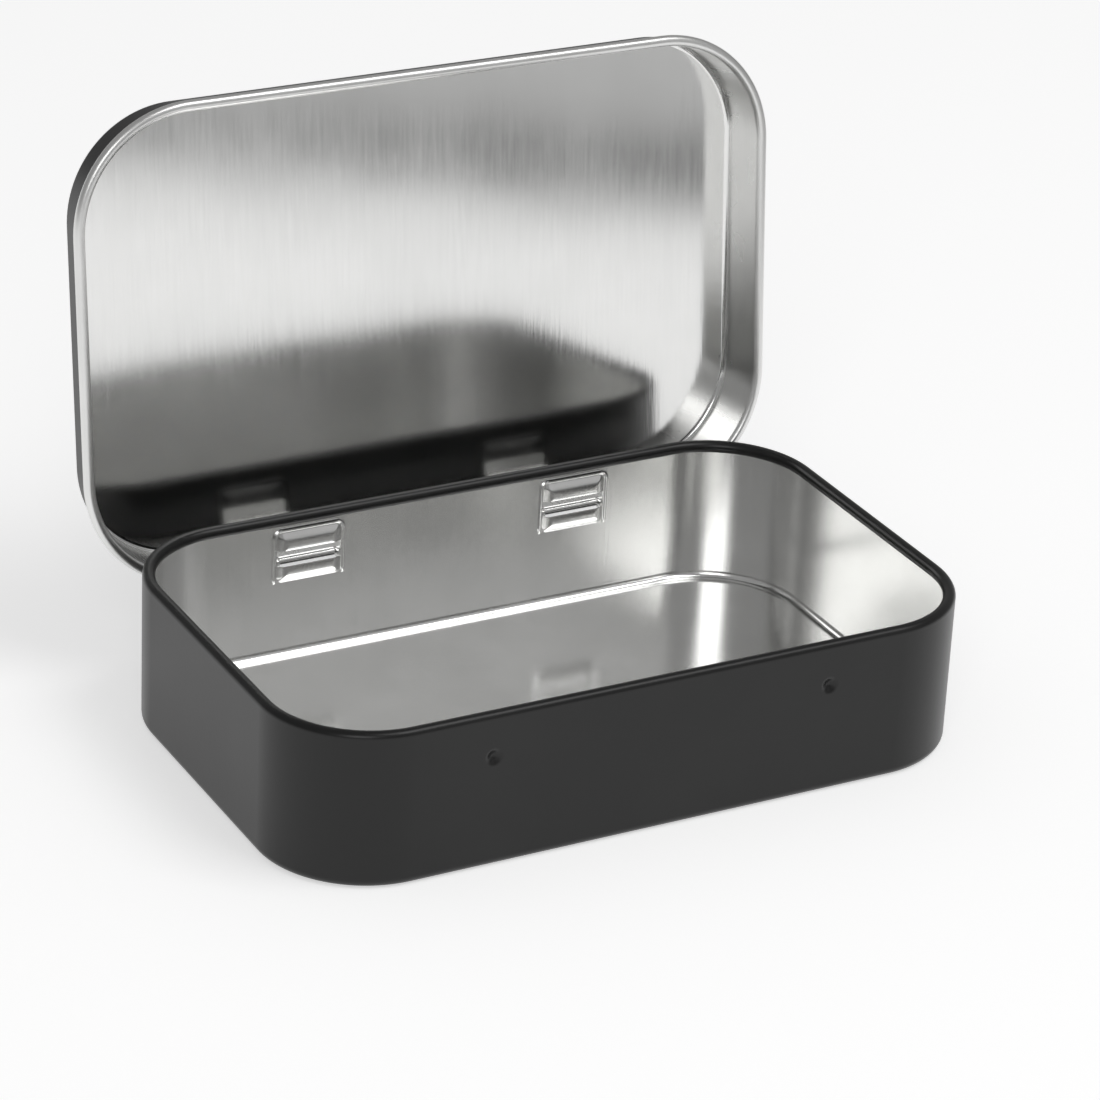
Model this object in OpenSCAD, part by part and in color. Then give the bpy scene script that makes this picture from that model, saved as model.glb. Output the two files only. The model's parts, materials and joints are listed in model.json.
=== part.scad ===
// Hinged tinplate tin with a curled rim, a beaded lid and two formed hinges, standing open.
// Millimetres. X runs along the tin, +Y to the hinge side, +Z up.
// The origin is the middle of the base's underside.

/* [Base] */
// Length of the base over its walls
base_l = 92; // [80:1:110]
// Width of the base over its walls
base_w = 58; // [50:1:70]
// Height of the base, over the curled rim
base_h = 20.2; // [18.5:0.1:26]
// Plan radius of the base's corners
corner_r = 13.6; // [10:0.1:18]
// Thickness of the tinplate
sheet = 0.22; // [0.18:0.01:0.26]
// Outer radius between the wall and the floor
foot_r = 1.2; // [0.6:0.1:2]
// Diameter of the rim, curled inwards
rim_d = 1.6; // [1.2:0.05:2]
// Angle left open under the rim's curl
rim_open_angle = 70; // [40:5:120]

/* [Lid] */
// Gap all round between the lid's wall and the base's wall
lid_gap = 0.48; // [0.46:0.01:0.6]
// Distance that the lid's wall leans in, from its bead to its rounded edge
lid_lean = 0.35; // [0:0.05:0.35]
// Outer radius between the lid's top and its wall
lid_r = 1; // [0.7:0.1:1.3]
// Diameter of the bead, curled outwards
bead_d = 1.4; // [1.1:0.05:1.45]
// Angle left open between the bead's free edge and the wall
bead_open_angle = 60; // [50:5:120]
// Gap between the closed lid and the rim that it sits on
seat_gap = 0.1; // [0.05:0.01:0.2]
// Length of the groove pressed into the lid's front wall
groove_l = 56; // [20:1:60]
// Height of the groove
groove_h = 2; // [0.8:0.1:2.4]
// Depth of the groove
groove_depth = 0.04; // [0.02:0.01:0.04]
// Height of the groove's middle over the middle of the bead
groove_up = 3; // [2:0.1:4]

/* [Hinges] */
// Distance from the tin's middle to the middle of each hinge
hinge_x = 18.8; // [12:0.1:22]
// Drop from the top of the rim to the hinge axis
hinge_drop = 7.18; // [7.14:0.02:7.3]
// Distance of the hinge axis out from the lid's wall
hinge_set = 0.2; // [0.1:0.01:0.24]
// Height of the bead's middle over the hinge axis, with the tin closed
bead_over = 0.78; // [0.7:0.01:0.9]
// Gap between the bead's cut ends and the ears, at each side of a hinge
notch_gap = 0.15; // [0.1:0.05:0.5]
// Angle of the lid past closed, as it stands open
open_angle = 95.5; // [80:0.5:98]
// Diameter of the bar that the lid turns on
bar_d = 0.6; // [0.4:0.05:0.65]
// Running gap between the bar and the curl round it
run_gap = 0.05; // [0.03:0.01:0.06]
// Gap at each end of the lid's curl
end_gap = 0.15; // [0.1:0.05:0.4]
// Angle left open in the lid's curl
curl_open_angle = 60; // [40:5:80]
// Diameter of the ears that hold the bar
ear_d = 0.76; // [0.7:0.02:0.82]
// Thickness of each ear
ear_t = 0.45; // [0.3:0.05:0.8]

/* [Hinge pockets] */
// Width of each pressed pocket
pocket_w = 9.6; // [9.4:0.1:11]
// Drop from the top of the rim to the pocket's upper edge
pocket_drop = 2.5; // [2.4:0.1:2.6]
// Flat wall at each side of the window that the lid's curl works in
window_side = 0.4; // [0.35:0.05:0.8]
// Height of the window above the hinge axis
window_above = 2.15; // [1.8:0.05:2.2]
// Height of the window below the hinge axis
window_below = 0.9; // [0.5:0.05:0.95]
// Height of the swelling above the window
top_swell_h = 2; // [1:0.1:2.1]
// Height of the swelling below the window
low_swell_h = 1.6; // [1:0.1:2]
// Flat wall at each end of the swellings, past the window's sides
swell_side = 0.2; // [0.1:0.05:0.6]
// Distance that the swellings stand in from the wall
swell_depth = 0.45; // [0.2:0.05:0.6]
// Thickness of the swellings' end walls
swell_end = 0.3; // [0.25:0.05:0.6]
// Flat lip between each swelling and the window
swell_lip = 0.1; // [0.05:0.01:0.2]
// Width of the ridge along the pocket's top and sides
ridge_w = 0.35; // [0.2:0.05:0.4]
// Distance that the ridge stands in from the wall
ridge_d = 0.2; // [0.1:0.05:0.4]

/* [Catch dimples] */
// Distance from the tin's middle to each dimple
dimple_x = 22.5; // [12:0.5:28]
// Drop from the top of the rim to the dimples' middles
dimple_drop = 5.65; // [4:0.05:9]
// Width of a dimple on the outside of the wall
dimple_w = 2.2; // [1:0.1:3]
// Depth of a dimple
dimple_depth = 0.35; // [0.1:0.05:0.5]

/* [Hidden] */
$fn = 96;
// Overrun of the cuts past the faces that they open
over = 1;

// Middles of the corners' arcs, shared by the base and the lid round it
arc_x = base_l/2 - corner_r;
arc_y = base_w/2 - corner_r;
rim_r = rim_d/2;
bead_r = bead_d/2;
// Height at which the wall turns into the rim's curl
wall_top = base_h - rim_r;
back_y = base_w/2;

// The hinge: the lid's tab goes down from its wall, and curls outwards round the bar
bar_r = bar_d/2;
curl_in_r = bar_r + run_gap;
curl_out_r = curl_in_r + sheet;
hinge_y = back_y + lid_gap + hinge_set;
hinge_z = base_h - hinge_drop;
window_w = pocket_w - 2*window_side;
curl_w = window_w - 2*ear_t - 2*end_gap;
notch_w = window_w + 2*notch_gap;

// The lid, as it stands closed
lid_in_r = corner_r + lid_gap;
lid_out_r = lid_in_r + sheet;
bead_z = hinge_z + bead_over;
lid_top = base_h + seat_gap + sheet;
lid_front_y = -(arc_y + lid_out_r);
// Where the lid's wall turns into its rounded edge
shoulder_r = lid_out_r - lid_lean;
shoulder_z = lid_top - lid_r;
lean_per_mm = lid_lean/(shoulder_z - bead_z);

// The pocket's heights, and the swellings' width
window_top = hinge_z + window_above;
window_low = hinge_z - window_below;
pocket_top = base_h - pocket_drop;
pocket_low = window_low - low_swell_h - 2*swell_lip;
swell_w = window_w - 2*swell_side;

black = "#2b2b2b";
tin = "#c9c9c6";

// Carries a section drawn outwards from a corner's middle round all four corners and sides
module around() {
  for (k = [0:3]) {
    sx = (k == 0 || k == 3) ? 1 : -1;
    sy = (k < 2) ? 1 : -1;
    run = (k % 2 == 0) ? 2*arc_y : 2*arc_x;
    translate([sx*arc_x, sy*arc_y, 0]) rotate([0, 0, 90*k]) {
      rotate_extrude(angle = 90) children();
      rotate([90, 0, 0]) linear_extrude(run) children();
    }
  }
}

// A curled edge: a ring of sheet with a wedge left open, from one angle to another
module curl_section(r, from, to) {
  middle = (from + to)/2;
  reach = 2*r;
  difference() {
    circle(r);
    circle(r - sheet);
    polygon([[0, 0], reach*[cos(from), sin(from)], reach*[cos(middle), sin(middle)], reach*[cos(to), sin(to)]]);
  }
}

// A quarter ring of sheet, in the quadrant that the signs name
module bend_section(r, sx, sy) {
  intersection() {
    difference() {
      circle(r);
      circle(r - sheet);
    }
    translate([sx < 0 ? -r : 0, sy < 0 ? -r : 0]) square(r);
  }
}

module base_section() {
  square([corner_r - foot_r, sheet]);
  translate([corner_r - foot_r, foot_r]) bend_section(foot_r, 1, -1);
  translate([corner_r - sheet, foot_r]) square([sheet, wall_top - foot_r]);
}

module lid_section() {
  translate([0, lid_top - sheet]) square([shoulder_r - lid_r, sheet]);
  translate([shoulder_r - lid_r, shoulder_z]) bend_section(lid_r, 1, 1);
  polygon([[lid_in_r, bead_z], [lid_out_r, bead_z], [shoulder_r, shoulder_z], [shoulder_r - sheet, shoulder_z]]);
}

// Radius of an arc that stands depth high over a chord
function arc_radius(chord, depth) = (chord*chord/4 + depth*depth)/(2*depth);

// A long round swelling pressed towards -Y from a sheet whose outer face is at y = 0.
// It runs along X, is height tall round z = 0, and its hollow is closed by end walls.
module pressed_swelling(length, height, depth, end) {
  r = arc_radius(height, depth);
  difference() {
    intersection() {
      translate([-length/2, r - depth, 0]) rotate([0, 90, 0]) cylinder(r = r + sheet, h = length);
      translate([-length/2, -depth - sheet, -height/2]) cube([length, depth + sheet, height]);
    }
    translate([end - length/2, r - depth, 0]) rotate([0, 90, 0]) cylinder(r = r, h = length - 2*end);
  }
}

// The hollow of that swelling, as it opens on the outer face
module swelling_hollow(length, height, depth, end) {
  r = arc_radius(height, depth);
  translate([end - length/2, r - depth, 0]) rotate([0, 90, 0]) cylinder(r = r, h = length - 2*end);
}

// Both dimples of the front wall: their outer hollows, or with skin their inner faces
module dimples(skin) {
  r = arc_radius(dimple_w, dimple_depth);
  for (side = [-1, 1])
    translate([side*dimple_x, -back_y - r + dimple_depth, base_h - dimple_drop]) sphere(r + skin);
}

module base_shell() {
  color(black) difference() {
    union() {
      around() base_section();
      translate([-arc_x, -arc_y, 0]) cube([2*arc_x, 2*arc_y, sheet]);
      intersection() {
        dimples(sheet);
        translate([-base_l/2, -back_y, sheet]) cube([base_l, dimple_depth + sheet, wall_top - sheet]);
      }
    }
    dimples(0);
    for (side = [-1, 1])
      translate([side*hinge_x - pocket_w/2, back_y - sheet - over, pocket_low])
        cube([pocket_w, sheet + 2*over, pocket_top - pocket_low]);
  }
}

module base_rim() {
  color(black) around()
    translate([corner_r - rim_r, wall_top]) curl_section(rim_r, -rim_open_angle, 0);
}

// The pressed patch of the back wall round one hinge window
module hinge_pocket(side) {
  top_middle = window_top + swell_lip + top_swell_h/2;
  low_middle = window_low - swell_lip - low_swell_h/2;
  inner_y = back_y - sheet;
  color(tin) translate([side*hinge_x, 0, 0]) {
    difference() {
      translate([-pocket_w/2, inner_y, pocket_low]) cube([pocket_w, sheet, pocket_top - pocket_low]);
      translate([-window_w/2, inner_y - over, window_low])
        cube([window_w, sheet + 2*over, window_top - window_low]);
      translate([0, back_y, top_middle]) swelling_hollow(swell_w, top_swell_h, swell_depth, swell_end);
      translate([0, back_y, low_middle]) swelling_hollow(swell_w, low_swell_h, swell_depth, swell_end);
    }
    translate([0, back_y, top_middle]) pressed_swelling(swell_w, top_swell_h, swell_depth, swell_end);
    translate([0, back_y, low_middle]) pressed_swelling(swell_w, low_swell_h, swell_depth, swell_end);
    translate([-pocket_w/2, inner_y - ridge_d, pocket_top - ridge_w]) cube([pocket_w, ridge_d, ridge_w]);
    for (x = [-pocket_w/2, pocket_w/2 - ridge_w])
      translate([x, inner_y - ridge_d, pocket_low]) cube([ridge_w, ridge_d, pocket_top - ridge_w - pocket_low]);
  }
}

// The strip of the back wall that is pushed out as a bar, with the ears that carry it
module hinge_bar(side) {
  inner_y = back_y - sheet;
  color(tin) translate([side*hinge_x, 0, hinge_z]) {
    translate([ear_t - window_w/2, hinge_y, 0]) rotate([0, 90, 0]) cylinder(d = bar_d, h = window_w - 2*ear_t);
    for (x = [-window_w/2, window_w/2 - ear_t]) translate([x, 0, 0]) {
      translate([0, hinge_y, 0]) rotate([0, 90, 0]) cylinder(d = ear_d, h = ear_t);
      translate([0, inner_y, -ear_d/2]) cube([ear_t, hinge_y - inner_y, ear_d]);
    }
  }
}

// Turns what is drawn closed to the angle at which the lid stands open
module stand_open() {
  translate([0, hinge_y, hinge_z]) rotate([-open_angle, 0, 0]) translate([0, -hinge_y, -hinge_z]) children();
}

// Puts what is drawn on an upright back wall on the lid's leaning front wall, at the groove
module on_lid_front() {
  translate([0, lid_front_y + lean_per_mm*groove_up, bead_z + groove_up])
    rotate([-atan(lean_per_mm), 0, 0]) mirror([0, 1, 0]) children();
}

module lid_shell() {
  color(black) stand_open() {
    difference() {
      union() {
        around() lid_section();
        translate([-arc_x, -arc_y, lid_top - sheet]) cube([2*arc_x, 2*arc_y, sheet]);
      }
      on_lid_front() swelling_hollow(groove_l, groove_h, groove_depth, swell_end);
    }
    on_lid_front() pressed_swelling(groove_l, groove_h, groove_depth, swell_end);
  }
}

// The bead is cut away at each hinge, where the lid's tab and the ears turn
module lid_bead() {
  color(tin) stand_open() difference() {
    around() translate([lid_in_r + bead_r, bead_z]) curl_section(bead_r, 180 - bead_open_angle, 180);
    for (side = [-1, 1])
      translate([side*hinge_x - notch_w/2, back_y, bead_z - bead_r - over])
        cube([notch_w, lid_gap + bead_d + over, bead_d + 2*over]);
  }
}

// The lid's tab: a strip down from its back wall, curled outwards round the hinge bar
module hinge_curl(side) {
  color(tin) stand_open()
    translate([side*hinge_x - curl_w/2, hinge_y, hinge_z]) rotate([90, 0, 90]) linear_extrude(curl_w) {
      tab_angle = acos(-hinge_set/curl_in_r);
      curl_section(curl_out_r, tab_angle, tab_angle + curl_open_angle);
      difference() {
        translate([-hinge_set, 0]) square([sheet, bead_z - hinge_z]);
        circle(curl_in_r);
      }
    }
}

module left_hinge_pocket() { hinge_pocket(-1); }
module right_hinge_pocket() { hinge_pocket(1); }
module left_hinge_bar() { hinge_bar(-1); }
module right_hinge_bar() { hinge_bar(1); }
module left_hinge_curl() { hinge_curl(-1); }
module right_hinge_curl() { hinge_curl(1); }

base_shell();
base_rim();
left_hinge_pocket();
right_hinge_pocket();
left_hinge_bar();
right_hinge_bar();
lid_shell();
lid_bead();
left_hinge_curl();
right_hinge_curl();
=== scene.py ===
"""A hinged tinplate tin: black enamel outside, bare metal inside, standing open on its base."""
import json
import math

import bmesh
import bpy
from mathutils import Matrix, Vector


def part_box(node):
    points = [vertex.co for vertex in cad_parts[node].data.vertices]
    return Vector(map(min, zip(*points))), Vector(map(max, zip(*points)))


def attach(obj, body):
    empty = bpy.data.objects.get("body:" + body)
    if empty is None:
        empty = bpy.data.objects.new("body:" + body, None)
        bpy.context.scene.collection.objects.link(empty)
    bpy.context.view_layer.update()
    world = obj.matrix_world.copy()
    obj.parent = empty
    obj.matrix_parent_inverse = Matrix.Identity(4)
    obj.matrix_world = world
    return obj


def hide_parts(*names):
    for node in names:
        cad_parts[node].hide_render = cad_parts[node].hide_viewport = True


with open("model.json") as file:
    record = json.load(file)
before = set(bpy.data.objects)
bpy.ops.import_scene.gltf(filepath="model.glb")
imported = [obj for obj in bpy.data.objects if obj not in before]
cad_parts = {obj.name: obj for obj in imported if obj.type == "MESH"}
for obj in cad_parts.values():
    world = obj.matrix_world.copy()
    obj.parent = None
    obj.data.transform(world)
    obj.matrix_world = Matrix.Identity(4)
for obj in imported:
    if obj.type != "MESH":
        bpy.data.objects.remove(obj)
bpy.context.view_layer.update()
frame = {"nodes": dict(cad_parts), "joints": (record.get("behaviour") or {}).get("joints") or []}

# Sizes of the sheet and of its forming, in metres
MM = 0.001
SHEET = 0.22 * MM
COAT = 0.03 * MM
CORNER_R = 13.6 * MM
FOOT_R = 1.2 * MM
LID_EDGE_R = 1.0 * MM
LID_LEAN = 0.35 * MM
RIM_OPEN = math.radians(70)
BEAD_OPEN = math.radians(60)
CORNER_STEPS = 32

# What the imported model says
BODY_BASE, BODY_LID = "base", "lid"
hinge_joint = frame["joints"][0]
HINGE = Vector(hinge_joint["pos_m"])
CLOSING = math.radians(hinge_joint["range_deg"][1])
TO_OPEN = (Matrix.Translation(HINGE) @ Matrix.Rotation(-CLOSING, 4, "X")
           @ Matrix.Translation(-HINGE))
TO_CLOSED = TO_OPEN.inverted()


def closed_box(node):
    """A lid node's lowest and highest corners, as it lies with the tin closed."""
    places = [TO_CLOSED @ v.co for v in frame["nodes"][node].data.vertices]
    low = Vector([min(p[k] for p in places) for k in range(3)])
    high = Vector([max(p[k] for p in places) for k in range(3)])
    return low, high


base_low, base_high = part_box("base_shell")
rim_low, rim_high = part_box("base_rim")
lid_low, lid_high = closed_box("lid_shell")
bead_low, bead_high = closed_box("lid_bead")

HALF_L, HALF_W = base_high.x, base_high.y
RIM_R = (rim_high.z - rim_low.z) / 2
WALL_TOP = rim_high.z - RIM_R
LID_TOP = lid_high.z
LID_OUT = lid_high.x - HALF_L
LID_IN = LID_OUT - SHEET
BEAD_R = (bead_high.z - bead_low.z) / 2
BEAD_Z = (bead_high.z + bead_low.z) / 2
LID_FRONT_Y = -(HALF_W + LID_OUT)
LEAN_PER_MM = LID_LEAN / (LID_TOP - LID_EDGE_R - BEAD_Z)


class Value:
    """The output of a node, which adds a Math node wherever it is used in a sum."""

    def __init__(self, tree, socket):
        self.tree = tree
        self.socket = socket

    def maths(self, operation, *terms):
        inputs = dict(enumerate(terms))
        return self.tree.value("ShaderNodeMath", {"operation": operation}, inputs)

    def __add__(self, other):
        return self.maths("ADD", self, other)

    def __radd__(self, other):
        return self.maths("ADD", other, self)

    def __sub__(self, other):
        return self.maths("SUBTRACT", self, other)

    def __rsub__(self, other):
        return self.maths("SUBTRACT", other, self)

    def __mul__(self, other):
        return self.maths("MULTIPLY", self, other)

    def __rmul__(self, other):
        return self.maths("MULTIPLY", other, self)

    def __gt__(self, other):
        return self.maths("GREATER_THAN", self, other)

    def __abs__(self):
        return self.maths("ABSOLUTE", self)


class Tree:
    """A shader or geometry tree, made node by node."""

    def __init__(self, tree):
        self.tree = tree
        tree.nodes.clear()

    def node(self, kind, settings=None, inputs=None):
        """Adds a node: its settings first, then the values or links of its sockets."""
        made = self.tree.nodes.new(kind)
        for name, setting in (settings or {}).items():
            if name == "stops":
                self.set_stops(made.color_ramp, setting)
            else:
                setattr(made, name, setting)
        for name, given in (inputs or {}).items():
            if isinstance(given, Value):
                self.tree.links.new(given.socket, made.inputs[name])
            else:
                made.inputs[name].default_value = given
        return made

    def value(self, kind, settings=None, inputs=None, output=0):
        return Value(self, self.node(kind, settings, inputs).outputs[output])

    @staticmethod
    def set_stops(ramp, stops):
        while len(ramp.elements) < len(stops):
            ramp.elements.new(1.0)
        for element, (place, level) in zip(ramp.elements, stops):
            element.position = place
            element.color = (level, level, level, 1.0)


def new_material(name):
    material = bpy.data.materials.new(name)
    material.use_nodes = True
    return material, Tree(material.node_tree)


def stretched_noise(tree, place, scale, detail=2.0):
    """Noise whose cells are 1/scale metres long along each axis."""
    mapped = tree.value("ShaderNodeMapping", None, {"Vector": place, "Scale": scale})
    return tree.value("ShaderNodeTexNoise", None,
                      {"Vector": mapped, "Scale": 1.0, "Detail": detail, "Roughness": 0.55})


def soft_step(tree, value, low, high, to_low=0.0, to_high=1.0):
    return tree.value("ShaderNodeMapRange", {"interpolation_type": "SMOOTHSTEP"},
                      {"Value": value, "From Min": low, "From Max": high,
                       "To Min": to_low, "To Max": to_high})


def colour_mix(tree, factor, first, second):
    """A mix of two colours; a Mix node's colours are its sockets 6 and 7, and its output 2."""
    return tree.value("ShaderNodeMix", {"data_type": "RGBA"},
                      {0: factor, 6: first, 7: second}, output=2)


def surface(tree, settings, bumps):
    """The shader and its output; bumps are (height in metres, strength), coarsest first."""
    normal = None
    for height, strength in bumps:
        inputs = {"Height": height, "Distance": 1.0, "Strength": strength}
        if normal:
            inputs["Normal"] = normal
        normal = tree.value("ShaderNodeBump", None, inputs)
    if normal:
        settings["Normal"] = normal
    shader = tree.value("ShaderNodeBsdfPrincipled", None, settings)
    tree.node("ShaderNodeOutputMaterial", None, {"Surface": shader})


def closed_place(tree, on_lid):
    """Object coordinates and normals as the tin lies closed, so that a pattern fits its form."""
    place = tree.value("ShaderNodeTexCoord", output="Object")
    facing = tree.value("ShaderNodeTexCoord", output="Normal")
    if on_lid:
        turn = (CLOSING, 0.0, 0.0)
        place = tree.value("ShaderNodeMapping", None,
                           {"Vector": place, "Location": TO_CLOSED.to_translation(),
                            "Rotation": turn})
        facing = tree.value("ShaderNodeMapping", {"vector_type": "VECTOR"},
                            {"Vector": facing, "Rotation": turn})
    sides = tree.node("ShaderNodeSeparateXYZ", None, {"Vector": facing}).outputs
    return place, abs(Value(tree, sides["X"])), abs(Value(tree, sides["Z"]))


def bare_tinplate(name, on_lid=False, roughness=0.13, drawn=0.1, grain=1.0):
    """Bare tinplate: bright, with the grain of rolling across the tin, duller where drawn."""
    material, tree = new_material(name)
    place, facing_x, facing_z = closed_place(tree, on_lid)
    on_side = soft_step(tree, facing_x, 0.6, 0.8)
    on_wall = soft_step(tree, facing_z, 0.8, 0.3)
    along = stretched_noise(tree, place, (9000, 90, 90), 3.0)
    around = stretched_noise(tree, place, (90, 90, 9000), 3.0)
    fine = along + on_side * (around - along)
    streaks = stretched_noise(tree, place, (2200, 130, 130), 2.0)
    cloud = stretched_noise(tree, place, (70, 70, 70), 4.0)
    wave = stretched_noise(tree, place, (45, 45, 60), 1.0)
    tone = colour_mix(tree, soft_step(tree, cloud + 0.4 * fine, 0.45, 0.95),
                      (0.77, 0.77, 0.76, 1), (0.83, 0.83, 0.82, 1))
    surface(tree, {
        "Base Color": tone,
        "Metallic": 1.0,
        "Roughness": roughness + drawn * on_wall + 0.05 * (cloud - 0.5) + 0.05 * (streaks - 0.5),
    }, [(wave * (0.05 * MM), 1.0), (streaks * (0.006 * MM * grain), 1.0),
        (fine * (0.0012 * MM * grain), 1.0)])
    return material


def black_enamel(name, on_lid=False):
    """Satin black enamel: a slight orange peel over softly waved metal."""
    material, tree = new_material(name)
    place = closed_place(tree, on_lid)[0]
    peel = stretched_noise(tree, place, (1400, 1400, 1400), 2.0)
    grit = stretched_noise(tree, place, (6000, 6000, 6000), 1.0)
    wave = stretched_noise(tree, place, (80, 80, 12), 1.0)
    cloud = stretched_noise(tree, place, (60, 60, 60), 4.0)
    tone = colour_mix(tree, soft_step(tree, cloud, 0.35, 0.75),
                      (0.004, 0.004, 0.004, 1), (0.008, 0.008, 0.0078, 1))
    surface(tree, {
        "Base Color": tone,
        "Roughness": 0.32 + 0.08 * (cloud - 0.5) + 0.05 * (grit - 0.5),
        "IOR": 1.46,
    }, [(wave * (0.06 * MM), 1.0), (peel * (0.004 * MM), 1.0), (grit * (0.0006 * MM), 1.0)])
    return material


def arc(x, z, radius, start, stop, steps):
    """Points of an arc in a section, by its angles in degrees."""
    angles = [math.radians(start + (stop - start) * i / steps) for i in range(steps + 1)]
    return [(x + radius * math.cos(a), z + radius * math.sin(a)) for a in angles]


def section_round_tree():
    """Carries a section, drawn as distance outwards and height, round the tin's outline."""
    group = bpy.data.node_groups.new("Section round the tin", "GeometryNodeTree")
    tree = Tree(group)
    sockets = {}
    for name, kind in (("Section", "Geometry"), ("Length", "Float"), ("Width", "Float"),
                       ("Corner radius", "Float"), ("Corner steps", "Int"),
                       ("Material", "Material")):
        sockets[name] = group.interface.new_socket(
            name=name, in_out="INPUT", socket_type="NodeSocket" + kind).identifier
    group.interface.new_socket(name="Geometry", in_out="OUTPUT",
                               socket_type="NodeSocketGeometry")
    given = tree.node("NodeGroupInput").outputs
    outline = tree.value("GeometryNodeCurvePrimitiveQuadrilateral", {"mode": "RECTANGLE"},
                         {"Width": Value(tree, given["Length"]),
                          "Height": Value(tree, given["Width"])})
    rounded = tree.value("GeometryNodeFilletCurve", {"mode": "POLY"},
                         {"Curve": outline, "Radius": Value(tree, given["Corner radius"]),
                          "Count": Value(tree, given["Corner steps"])})
    section = tree.value("GeometryNodeMeshToCurve", None,
                         {"Mesh": Value(tree, given["Section"])})
    swept = tree.value("GeometryNodeCurveToMesh", None,
                       {"Curve": rounded, "Profile Curve": section})
    solid = tree.value("GeometryNodeRealizeInstances", None, {"Geometry": swept})
    dressed = tree.value("GeometryNodeSetMaterial", None,
                         {"Geometry": solid, "Material": Value(tree, given["Material"])})
    tree.node("NodeGroupOutput", None, {"Geometry": dressed})
    return group, sockets


def window_tree():
    """Cuts a row of equal box-shaped windows through a wall."""
    group = bpy.data.node_groups.new("Row of windows", "GeometryNodeTree")
    tree = Tree(group)
    sockets = {}
    for name, kind in (("Wall", "Geometry"), ("Count", "Int"), ("First", "Vector"),
                       ("Spacing", "Vector"), ("Size", "Vector"), ("Material", "Material")):
        sockets[name] = group.interface.new_socket(
            name=name, in_out="INPUT", socket_type="NodeSocket" + kind).identifier
    group.interface.new_socket(name="Geometry", in_out="OUTPUT",
                               socket_type="NodeSocketGeometry")
    given = tree.node("NodeGroupInput").outputs
    row = tree.value("GeometryNodeMeshLine", {"mode": "OFFSET"},
                     {"Count": Value(tree, given["Count"]),
                      "Start Location": Value(tree, given["First"]),
                      "Offset": Value(tree, given["Spacing"])})
    cutter = tree.value("GeometryNodeMeshCube", None, {"Size": Value(tree, given["Size"])})
    placed = tree.value("GeometryNodeInstanceOnPoints", None,
                        {"Points": row, "Instance": cutter})
    cutters = tree.value("GeometryNodeRealizeInstances", None, {"Geometry": placed})
    cut = tree.value("GeometryNodeMeshBoolean", {"operation": "DIFFERENCE", "solver": "EXACT"},
                     {"Mesh 1": Value(tree, given["Wall"]), "Mesh 2": cutters})
    solid = tree.value("GeometryNodeRealizeInstances", None, {"Geometry": cut})
    dressed = tree.value("GeometryNodeSetMaterial", None,
                         {"Geometry": solid, "Material": Value(tree, given["Material"])})
    tree.node("NodeGroupOutput", None, {"Geometry": dressed})
    return group, sockets


SECTION_ROUND = section_round_tree()
WINDOWS = window_tree()


def grow(piece, tree, **inputs):
    """Runs a geometry tree on a piece and leaves the result as its plain mesh."""
    group, sockets = tree
    modifier = piece.modifiers.new("Shape", "NODES")
    modifier.node_group = group
    for name, given in inputs.items():
        modifier[sockets[name.replace("_", " ").capitalize()]] = given
    return settle(piece)


def settle(piece):
    """Turns a piece and its modifiers into a plain mesh."""
    shaped = piece.evaluated_get(bpy.context.evaluated_depsgraph_get())
    mesh = bpy.data.meshes.new_from_object(shaped)
    mesh.name = piece.name
    piece.modifiers.clear()
    piece.data = mesh
    return piece


def new_piece(name, points, edges=(), faces=()):
    mesh = bpy.data.meshes.new(name)
    mesh.from_pydata(points, edges, faces)
    piece = bpy.data.objects.new(name, mesh)
    bpy.context.scene.collection.objects.link(piece)
    return piece


def reshape(piece, change):
    """Opens a piece's mesh for a change and turns every face outwards after it."""
    shape = bmesh.new()
    shape.from_mesh(piece.data)
    change(shape)
    bmesh.ops.recalc_face_normals(shape, faces=shape.faces)
    for face in shape.faces:
        face.material_index = 0
    shape.to_mesh(piece.data)
    shape.free()


def fill_floors(shape):
    """Fills the flat middles that an open section leaves."""
    rims = [edge for edge in shape.edges if edge.is_boundary]
    bmesh.ops.holes_fill(shape, edges=rims, sides=0)


def carried_round(name, section, material, closed):
    """A piece made by carrying a section round the tin; an open one is closed by two floors."""
    count = len(section)
    edges = [(i, (i + 1) % count) for i in range(count if closed else count - 1)]
    piece = new_piece(name, [(out, -height, 0.0) for out, height in section], edges)
    grow(piece, SECTION_ROUND, length=2 * HALF_L, width=2 * HALF_W, corner_radius=CORNER_R,
         corner_steps=CORNER_STEPS, material=material)
    if not closed:
        reshape(piece, fill_floors)
    return piece


def stations(stops, step):
    """Places from the first stop to the last, no further apart than a step, with every stop."""
    places = [stops[0]]
    for low, high in zip(stops, stops[1:]):
        count = max(1, math.ceil((high - low) / step - 1e-6))
        places += [low + (high - low) * i / count for i in range(1, count + 1)]
    return places


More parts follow.
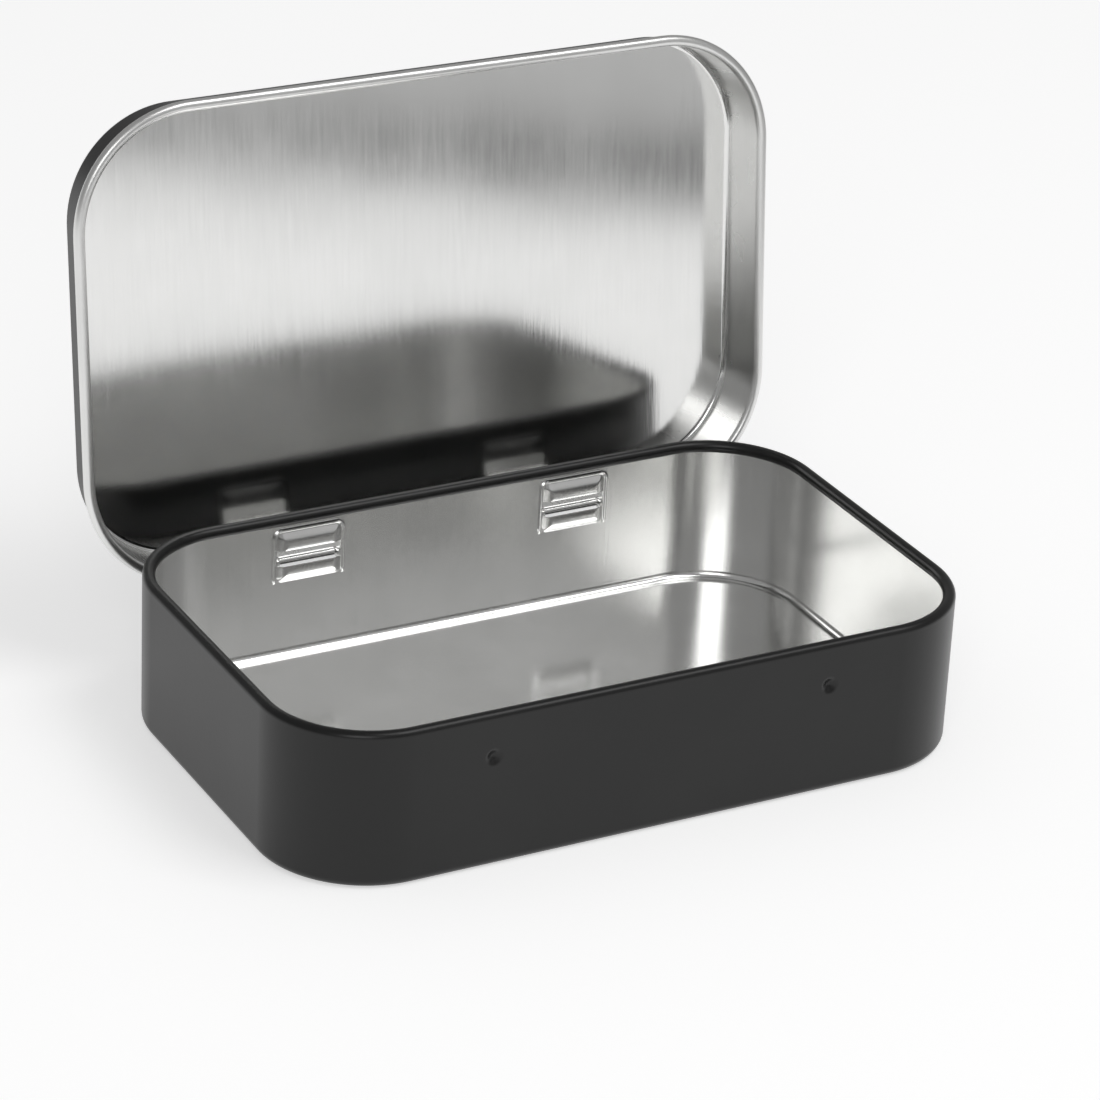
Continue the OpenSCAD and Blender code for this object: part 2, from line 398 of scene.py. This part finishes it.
def pressed_patch(shape, xs, zs, wall_at, inwards, layer, depth_at, window=None):
    """Adds a pressed patch of sheet to a mesh, between two distances in from the wall's face.

    wall_at gives the y of the wall's outer face at a height.
    """
    def is_open(i, j):
        if not (0 <= i < len(xs) - 1 and 0 <= j < len(zs) - 1):
            return True
        if not window:
            return False
        x, z = (xs[i] + xs[i + 1]) / 2, (zs[j] + zs[j + 1]) / 2
        return window[0] < x < window[1] and window[2] < z < window[3]

    points = {}

    def point(i, j, face):
        if (i, j, face) not in points:
            y = wall_at(zs[j]) + inwards * (layer[face] + depth_at(xs[i], zs[j]))
            points[i, j, face] = shape.verts.new((xs[i], y, zs[j]))
        return points[i, j, face]

    for i in range(len(xs) - 1):
        for j in range(len(zs) - 1):
            if is_open(i, j):
                continue
            ring = [(i, j), (i + 1, j), (i + 1, j + 1), (i, j + 1)]
            shape.faces.new([point(a, b, 0) for a, b in ring])
            shape.faces.new([point(a, b, 1) for a, b in reversed(ring)])
            beyond = [(i, j - 1), (i + 1, j), (i, j + 1), (i - 1, j)]
            for side in range(4):
                if is_open(*beyond[side]):
                    a, b = ring[side], ring[(side + 1) % 4]
                    shape.faces.new([point(*a, 0), point(*a, 1), point(*b, 1), point(*b, 0)])


def bump(distance, reach):
    """A smooth hump, 1 at no distance and 0 from its reach on."""
    if distance >= reach:
        return 0.0
    return 0.5 + 0.5 * math.cos(math.pi * distance / reach)


def rounded_box_distance(x, z, half_x, half_z, radius):
    """Distance to the outline of a box with rounded corners, below 0 inside it."""
    qx, qz = abs(x) - half_x + radius, abs(z) - half_z + radius
    outside = math.hypot(max(qx, 0.0), max(qz, 0.0))
    return outside + min(max(qx, qz), 0.0) - radius


def pillow(x, z, low_z, high_z, half_x, corner, edge):
    """A pillow with rounded corners: 0 at its outline, 1 from the width of its edge on."""
    middle, half_z = (low_z + high_z) / 2, (high_z - low_z) / 2
    inside = -rounded_box_distance(x, z - middle, half_x, half_z, corner)
    return math.sin(math.pi / 2 * min(1.0, max(0.0, inside / edge)))


def dress(piece, material, body, nodes=(), turn=None, crease=35):
    """Places a piece, smooths its shading, gives it its material, ties it to its body and hides the
    CAD nodes it stands for.
    """
    if turn:
        piece.data.transform(turn)
    reshape(piece, lambda shape: None)
    piece.data.shade_smooth()
    piece.data.set_sharp_from_angle(angle=math.radians(crease))
    weights = piece.modifiers.new("Flat faces lead", "WEIGHTED_NORMAL")
    weights.keep_sharp = True
    settle(piece)
    piece.data.materials.clear()
    piece.data.materials.append(material)
    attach(piece, body)
    if nodes:
        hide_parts(*nodes)
    return piece


def cut_row(piece, material, first, spacing, size, count):
    """Cuts a row of windows in a piece."""
    return grow(piece, WINDOWS, count=count, first=first, spacing=spacing, size=size,
                material=material)


def lathe(shape, profile, centre, steps):
    """Adds a round bar along X, closed at both ends, from its distances along and its radii."""
    rings = []
    for x, radius in profile:
        turns = [2 * math.pi * k / steps for k in range(steps)]
        rings.append([shape.verts.new(centre + Vector((x, radius * math.cos(a), radius * math.sin(a))))
                      for a in turns])
    for near, far in zip(rings, rings[1:]):
        for k in range(steps):
            shape.faces.new([near[k], near[k - 1], far[k - 1], far[k]])
    shape.faces.new(rings[0])
    shape.faces.new(list(reversed(rings[-1])))


def plate(shape, outline, low_x, high_x):
    """Adds a plate that stands across X, from its outline in Y and Z."""
    near = [shape.verts.new((low_x, y, z)) for y, z in outline]
    far = [shape.verts.new((high_x, y, z)) for y, z in outline]
    shape.faces.new(near)
    shape.faces.new(list(reversed(far)))
    for k in range(len(outline)):
        shape.faces.new([near[k - 1], near[k], far[k], far[k - 1]])


def bevel(piece, width, segments):
    modifier = piece.modifiers.new("Softened edges", "BEVEL")
    modifier.width = width
    modifier.segments = segments
    modifier.limit_method = "ANGLE"
    modifier.angle_limit = math.radians(40)
    return settle(piece)


# Materials
tin_base = bare_tinplate("Bare tinplate of the base", roughness=0.16, drawn=0.06)
tin_lid = bare_tinplate("Bare tinplate of the lid", on_lid=True, drawn=0.15)
tin_bead = bare_tinplate("Burnished tinplate", on_lid=True, roughness=0.33, drawn=0.0, grain=0.3)
tin_bar = bare_tinplate("Tinplate of the hinge bars", roughness=0.22, drawn=0.0, grain=0.1)
tin_curl = bare_tinplate("Tinplate of the hinge curls", on_lid=True, roughness=0.22, drawn=0.0,
                         grain=0.05)
enamel_base = black_enamel("Black enamel of the base")
enamel_lid = black_enamel("Black enamel of the lid", on_lid=True)

# Sections of the base: distance out from the wall's outer face, and height
ARC_STEPS = 12


def base_section(outer, inner):
    """The floor's edge, the foot and the wall, between two depths in the sheet."""
    foot = arc(-FOOT_R, FOOT_R, FOOT_R - outer, -90, 0, ARC_STEPS)
    top = [(-outer, WALL_TOP), (-inner, WALL_TOP)]
    back = arc(-FOOT_R, FOOT_R, FOOT_R - inner, 0, -90, ARC_STEPS)
    return foot + top + back


def lid_section(outer, inner):
    """The lid's wall and its rounded top edge, between two depths in the sheet."""
    middle_x, middle_z = LID_OUT - LID_LEAN - LID_EDGE_R, LID_TOP - LID_EDGE_R
    outside = arc(middle_x, middle_z, LID_EDGE_R - outer, 90, 0, ARC_STEPS)
    low = [(LID_OUT - outer, BEAD_Z), (LID_OUT - inner, BEAD_Z)]
    inside = arc(middle_x, middle_z, LID_EDGE_R - inner, 0, 90, ARC_STEPS)
    return outside + low + inside


def curl_section(x, z, radius, start, stop):
    """A ring of sheet, from one angle to another."""
    steps = 40
    return arc(x, z, radius, start, stop, steps) + arc(x, z, radius - SHEET, stop, start, steps)


# The hinge pockets, as their CAD nodes and the hinge bars give them
pocket_low, pocket_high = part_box("right_hinge_pocket")
bar_low, bar_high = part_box("right_hinge_bar")
HINGE_X = (pocket_low.x + pocket_high.x) / 2
POCKET_HALF = (pocket_high.x - pocket_low.x) / 2
WINDOW_HALF = (bar_high.x - bar_low.x) / 2
WINDOW_TOP = HINGE.z + 1.85 * MM
WINDOW_LOW = HINGE.z - 0.4 * MM
SWELL_DEPTH = 0.5 * MM
SWELL_CORNER = 0.8 * MM
SWELL_EDGE = 1.55 * MM
# Each swelling is cut through by the window while it still stands in from the wall
SWELL_OVER = 0.9 * MM
SWELL_TOP = pocket_high.z - 0.45 * MM
SWELL_LOW = pocket_low.z + 0.1 * MM
RIDGE_DEPTH = 0.26 * MM
RIDGE_REACH = 0.32 * MM
RIDGE_INSET = 0.05 * MM
RIDGE_CORNER = 1.0 * MM
RIDGE_FADE = 0.8 * MM
PATCH_HALF = POCKET_HALF + 0.4 * MM
PATCH_TOP = pocket_high.z + 0.4 * MM
POCKET_STEP = 0.1 * MM


def pocket_depth(x, z):
    """How far a hinge pocket stands in from the wall; x runs from the pocket's middle."""
    depth = 0.0
    for low_z, high_z in ((SWELL_LOW, WINDOW_LOW + SWELL_OVER),
                          (WINDOW_TOP - SWELL_OVER, SWELL_TOP)):
        depth = max(depth, SWELL_DEPTH * pillow(x, z, low_z, high_z, WINDOW_HALF,
                                                SWELL_CORNER, SWELL_EDGE))
    outline_top = pocket_high.z - RIDGE_INSET
    drop = outline_top - pocket_low.z + 4 * MM
    distance = rounded_box_distance(x, z - outline_top + drop / 2, POCKET_HALF - RIDGE_INSET,
                                    drop / 2, RIDGE_CORNER)
    fade = min(1.0, max(0.0, (z - pocket_low.z) / RIDGE_FADE))
    ridge = RIDGE_DEPTH * bump(abs(distance), RIDGE_REACH) * fade
    return max(depth, ridge)


def add_pocket(shape, side, layer):
    xs = stations([-PATCH_HALF, -WINDOW_HALF, WINDOW_HALF, PATCH_HALF], POCKET_STEP)
    zs = stations([pocket_low.z, WINDOW_LOW, WINDOW_TOP, PATCH_TOP], POCKET_STEP)
    middle = side * HINGE_X
    window = (middle - WINDOW_HALF, middle + WINDOW_HALF, WINDOW_LOW, WINDOW_TOP)
    pressed_patch(shape, [middle + x for x in xs], zs, lambda z: HALF_W, -1, layer,
                  lambda x, z: pocket_depth(x - middle, z), window)


# The catch dimples in the front wall
DIMPLE_X = 22.5 * MM
DIMPLE_DROP = 5.65 * MM
DIMPLE_Z = base_high.z + RIM_R - DIMPLE_DROP
DIMPLE_REACH = 1.25 * MM
DIMPLE_PATCH = 1.5 * MM
DIMPLE_DEPTH = 0.5 * MM


def add_dimple(shape, side, layer):
    middle = side * DIMPLE_X
    xs = [middle + x for x in stations([-DIMPLE_PATCH, DIMPLE_PATCH], POCKET_STEP)]
    zs = [DIMPLE_Z + z for z in stations([-DIMPLE_PATCH, DIMPLE_PATCH], POCKET_STEP)]
    pressed_patch(shape, xs, zs, lambda z: -HALF_W, 1, layer, lambda x, z: DIMPLE_DEPTH * bump(
        math.hypot(x - middle, z - DIMPLE_Z), DIMPLE_REACH))


# The groove along the lid's front wall
GROOVE_HALF = 28.0 * MM
GROOVE_HALF_H = 1.3 * MM
GROOVE_PATCH = (28.6 * MM, 1.5 * MM)
GROOVE_Z = BEAD_Z + 3.0 * MM
GROOVE_DEPTH = 0.06 * MM


def groove_depth(x, z):
    beyond = max(0.0, abs(x) - GROOVE_HALF + GROOVE_HALF_H)
    return GROOVE_DEPTH * bump(math.hypot(beyond, z - GROOVE_Z), GROOVE_HALF_H)


def add_groove(shape, layer):
    half_x, half_z = GROOVE_PATCH
    xs = stations([-half_x, -GROOVE_HALF + GROOVE_HALF_H, GROOVE_HALF - GROOVE_HALF_H, half_x],
                  0.2 * MM)
    zs = [GROOVE_Z + z for z in stations([-half_z, half_z], POCKET_STEP)]
    pressed_patch(shape, xs, zs, lambda z: LID_FRONT_Y + LEAN_PER_MM * (z - BEAD_Z), 1, layer,
                  groove_depth)


DEPTHS = {"enamel": (0.0, COAT), "tinplate": (COAT, SHEET)}
pocket_size = (2 * PATCH_HALF, 4 * MM, PATCH_TOP - pocket_low.z)
pocket_first = (-HINGE_X, HALF_W, (PATCH_TOP + pocket_low.z) / 2)
dimple_size = (2 * DIMPLE_PATCH, 4 * MM, 2 * DIMPLE_PATCH)
groove_size = (2 * GROOVE_PATCH[0], 4 * MM, 2 * GROOVE_PATCH[1])

# Base and lid: one pressing each, as its bare tinplate and the enamel on its outside
for layer_name, base_material, lid_material in (("tinplate", tin_base, tin_lid),
                                                ("enamel", enamel_base, enamel_lid)):
    layer = DEPTHS[layer_name]
    base = carried_round("base_" + layer_name, base_section(*layer), base_material, False)
    cut_row(base, base_material, pocket_first, (2 * HINGE_X, 0.0, 0.0), pocket_size, 2)
    cut_row(base, base_material, (-DIMPLE_X, -HALF_W, DIMPLE_Z), (2 * DIMPLE_X, 0.0, 0.0),
            dimple_size, 2)

    def press_dimples(shape):
        for side in (-1, 1):
            add_dimple(shape, side, layer)

    reshape(base, press_dimples)
    dress(base, base_material, BODY_BASE, ["base_shell"])

    for side, side_name in ((-1, "left"), (1, "right")):
        pocket = new_piece(side_name + "_pocket_" + layer_name, [])
        reshape(pocket, lambda shape: add_pocket(shape, side, layer))
        dress(pocket, base_material, BODY_BASE, [side_name + "_hinge_pocket"])

    lid = carried_round("lid_" + layer_name, lid_section(*layer), lid_material, False)
    cut_row(lid, lid_material, (0.0, LID_FRONT_Y, GROOVE_Z), (0.0, 0.0, 0.0), groove_size, 1)
    reshape(lid, lambda shape: add_groove(shape, layer))
    dress(lid, lid_material, BODY_LID, ["lid_shell"], TO_OPEN)

# The curled edges
rim = carried_round("base_rim_curl", curl_section(-RIM_R, WALL_TOP, RIM_R, 0,
                    360 - math.degrees(RIM_OPEN)), enamel_base, True)
dress(rim, enamel_base, BODY_BASE, ["base_rim"])
bead = carried_round("lid_bead_curl", curl_section(LID_IN + BEAD_R, BEAD_Z, BEAD_R, 180,
                     540 - math.degrees(BEAD_OPEN)), tin_bead, True)
# It is cut away at each hinge, where the tab and the ears turn
NOTCH = 0.15 * MM
cut_row(bead, tin_bead, (-HINGE_X, HALF_W + LID_IN + BEAD_R, BEAD_Z), (2 * HINGE_X, 0.0, 0.0),
        (2 * (WINDOW_HALF + NOTCH), 4 * BEAD_R, 4 * BEAD_R), 2)
dress(bead, tin_bead, BODY_LID, ["lid_bead"], TO_OPEN)

# The hinges: a bar with two ears, and the lid's tab curled round it
BAR_R = 0.3 * MM
BAR_SHORT = 0.1 * MM
BAR_BEVEL = 0.06 * MM
RUN_GAP = 0.05 * MM
END_GAP = 0.15 * MM
EAR_R = (bar_high.z - bar_low.z) / 2
EAR_T = 0.45 * MM
CURL_IN = BAR_R + RUN_GAP
CURL_OUT = CURL_IN + SHEET
CURL_OPEN = 60
CURL_STEPS = 60
CURL_HALF = WINDOW_HALF - EAR_T - END_GAP
for side, side_name in ((-1, "left"), (1, "right")):
    middle = Vector((side * HINGE_X, HINGE.y, HINGE.z))
    ear = [(HINGE.y + y, HINGE.z + z) for y, z in arc(0.0, 0.0, EAR_R, -90, 90, 24)]
    ear += [(bar_low.y, HINGE.z + EAR_R), (bar_low.y, HINGE.z - EAR_R)]

    def add_bar(shape):
        reach = WINDOW_HALF - BAR_SHORT
        inner = WINDOW_HALF - EAR_T
        profile = [(-reach, BAR_R), (-inner, BAR_R), (inner, BAR_R), (reach, BAR_R)]
        lathe(shape, profile, middle, 32)
        for low_x in (-WINDOW_HALF, inner):
            plate(shape, ear, middle.x + low_x, middle.x + low_x + EAR_T)

    bar = new_piece(side_name + "_bar", [])
    reshape(bar, add_bar)
    bevel(bar, BAR_BEVEL, 2)
    dress(bar, tin_bar, BODY_BASE, [side_name + "_hinge_bar"])

    wall_in = HALF_W + LID_IN - HINGE.y
    wall_low = BEAD_Z - HINGE.z
    inner_start = math.degrees(math.acos(wall_in / CURL_IN))
    outer_stop = math.degrees(math.acos((wall_in + SHEET) / CURL_OUT))
    free_edge = inner_start + CURL_OPEN - 360
    tab = [(wall_in + SHEET, wall_low), (wall_in, wall_low)]
    tab += arc(0.0, 0.0, CURL_IN, inner_start, free_edge, CURL_STEPS)
    tab += arc(0.0, 0.0, CURL_OUT, free_edge, outer_stop, CURL_STEPS)
    tab = [(HINGE.y + y, HINGE.z + z) for y, z in tab]
    curl = new_piece(side_name + "_curl", [])
    reshape(curl, lambda shape: plate(shape, tab, middle.x - CURL_HALF, middle.x + CURL_HALF))
    dress(curl, tin_curl, BODY_LID, [side_name + "_hinge_curl"], TO_OPEN)

# The floor: white paper, which ends beside the tin as far as its mirror image goes
HEADING = 29.244
SHEET_EDGE = 0.205
FLOOR = 6
floor = new_piece("floor", [(x * FLOOR, y * FLOOR, 0.0) for x, y in
                            ((-1, -1), (1, -1), (1, 1), (-1, 1))],
                  faces=[(0, 1, 2, 3)])
floor_material, tree = new_material("Pale floor")
rays = tree.node("ShaderNodeLightPath").outputs
place = tree.value("ShaderNodeTexCoord", output="Object")
beside = tree.value("ShaderNodeMapping", None,
                    {"Vector": place, "Rotation": (0.0, 0.0, math.radians(HEADING))})
beside = Value(tree, tree.node("ShaderNodeSeparateXYZ", None, {"Vector": beside}).outputs["X"])
near = soft_step(tree, beside, SHEET_EDGE + 0.01, SHEET_EDGE - 0.01)
mirrored = Value(tree, rays["Is Glossy Ray"]) * near
matt = tree.value("ShaderNodeBsdfDiffuse", None, {"Color": (0.86, 0.86, 0.86, 1)})
seen = Value(tree, rays["Is Camera Ray"]) * 0.5 + mirrored * 0.5
glow = tree.value("ShaderNodeEmission", None, {"Color": (1, 1, 1, 1), "Strength": seen})
both = tree.value("ShaderNodeAddShader", None, {0: matt, 1: glow})
tree.node("ShaderNodeOutputMaterial", None, {"Surface": both})
floor.data.materials.append(floor_material)

# Light
world = bpy.data.worlds.new("Soft studio")
bpy.context.scene.world = world
world.use_nodes = True
tree = Tree(world.node_tree)
rays = tree.node("ShaderNodeLightPath").outputs
strength = 0.3 + Value(tree, rays["Is Camera Ray"]) * 0.7
light = tree.value("ShaderNodeBackground", None, {"Color": (1, 1, 1, 1), "Strength": strength})
tree.node("ShaderNodeOutputWorld", None, {"Surface": light})


def softbox(name, heading, climb, distance, size, power):
    """A rectangular lamp that looks at the tin; heading is from +Y towards +X, in degrees."""
    lamp = bpy.data.lights.new(name, "AREA")
    lamp.shape = "RECTANGLE"
    lamp.size, lamp.size_y = size
    lamp.energy = power
    place = Vector((math.sin(math.radians(heading)) * math.cos(math.radians(climb)),
                    math.cos(math.radians(heading)) * math.cos(math.radians(climb)),
                    math.sin(math.radians(climb)))) * distance
    box = bpy.data.objects.new(name, lamp)
    bpy.context.scene.collection.objects.link(box)
    box.location = place
    box.rotation_euler = (-place).to_track_quat("-Z", "Y").to_euler()
    return box


softbox("Overhead softbox", 140, 60, 1.3, (0.7, 0.6), 3.7)
softbox("Key softbox", 212, 32, 1.5, (0.6, 0.7), 3.0)
softbox("Fill softbox", 145, 26, 2.0, (1.2, 1.2), 0.9)

# A dark strip beside the paper, which only the bare metal mirrors: a painted dark reflection, a dim
# grey glow hidden from the camera, from diffuse light and from shadows.
STRIP_HEIGHT = 1.0 * MM
STRIP_NEAR, STRIP_FAR = 0.21, 0.26
STRIP_FRONT, STRIP_BACK = -1.2, 0.6
strip_turn = Matrix.Rotation(math.radians(-HEADING), 4, "Z")
strip = new_piece("strip", [strip_turn @ Vector((x, y, STRIP_HEIGHT)) for x, y in
                            ((STRIP_NEAR, STRIP_FRONT), (STRIP_FAR, STRIP_FRONT),
                             (STRIP_FAR, STRIP_BACK), (STRIP_NEAR, STRIP_BACK))],
                  faces=[(0, 1, 2, 3)])
strip.visible_camera = False
strip.visible_diffuse = False
strip.visible_shadow = False
strip_material, tree = new_material("Dark strip")
# Painted dark reflection: a dim grey glow, not a lamp
dark = tree.value("ShaderNodeEmission", None, {"Color": (0.12, 0.12, 0.12, 1), "Strength": 1.0})
tree.node("ShaderNodeOutputMaterial", None, {"Surface": dark})
strip.data.materials.append(strip_material)

# The camera, where the photograph was taken from
LENS = 143.87
DOWN, ROLL = 25.882, 2.869
CAMERA_PLACE = (-0.23416, -0.41765, 0.25596)
camera = bpy.data.objects.new("Camera", bpy.data.cameras.new("Camera"))
bpy.context.scene.collection.objects.link(camera)
camera.data.sensor_width = 36.0
camera.data.lens = LENS
camera.data.clip_start = 0.01
turned = (Matrix.Rotation(math.radians(-HEADING), 4, "Z")
          @ Matrix.Rotation(math.radians(90 - DOWN), 4, "X")
          @ Matrix.Rotation(math.radians(ROLL), 4, "Z"))
camera.matrix_world = Matrix.Translation(CAMERA_PLACE) @ turned
bpy.context.scene.camera = camera
bpy.context.scene.view_settings.view_transform = "Standard"
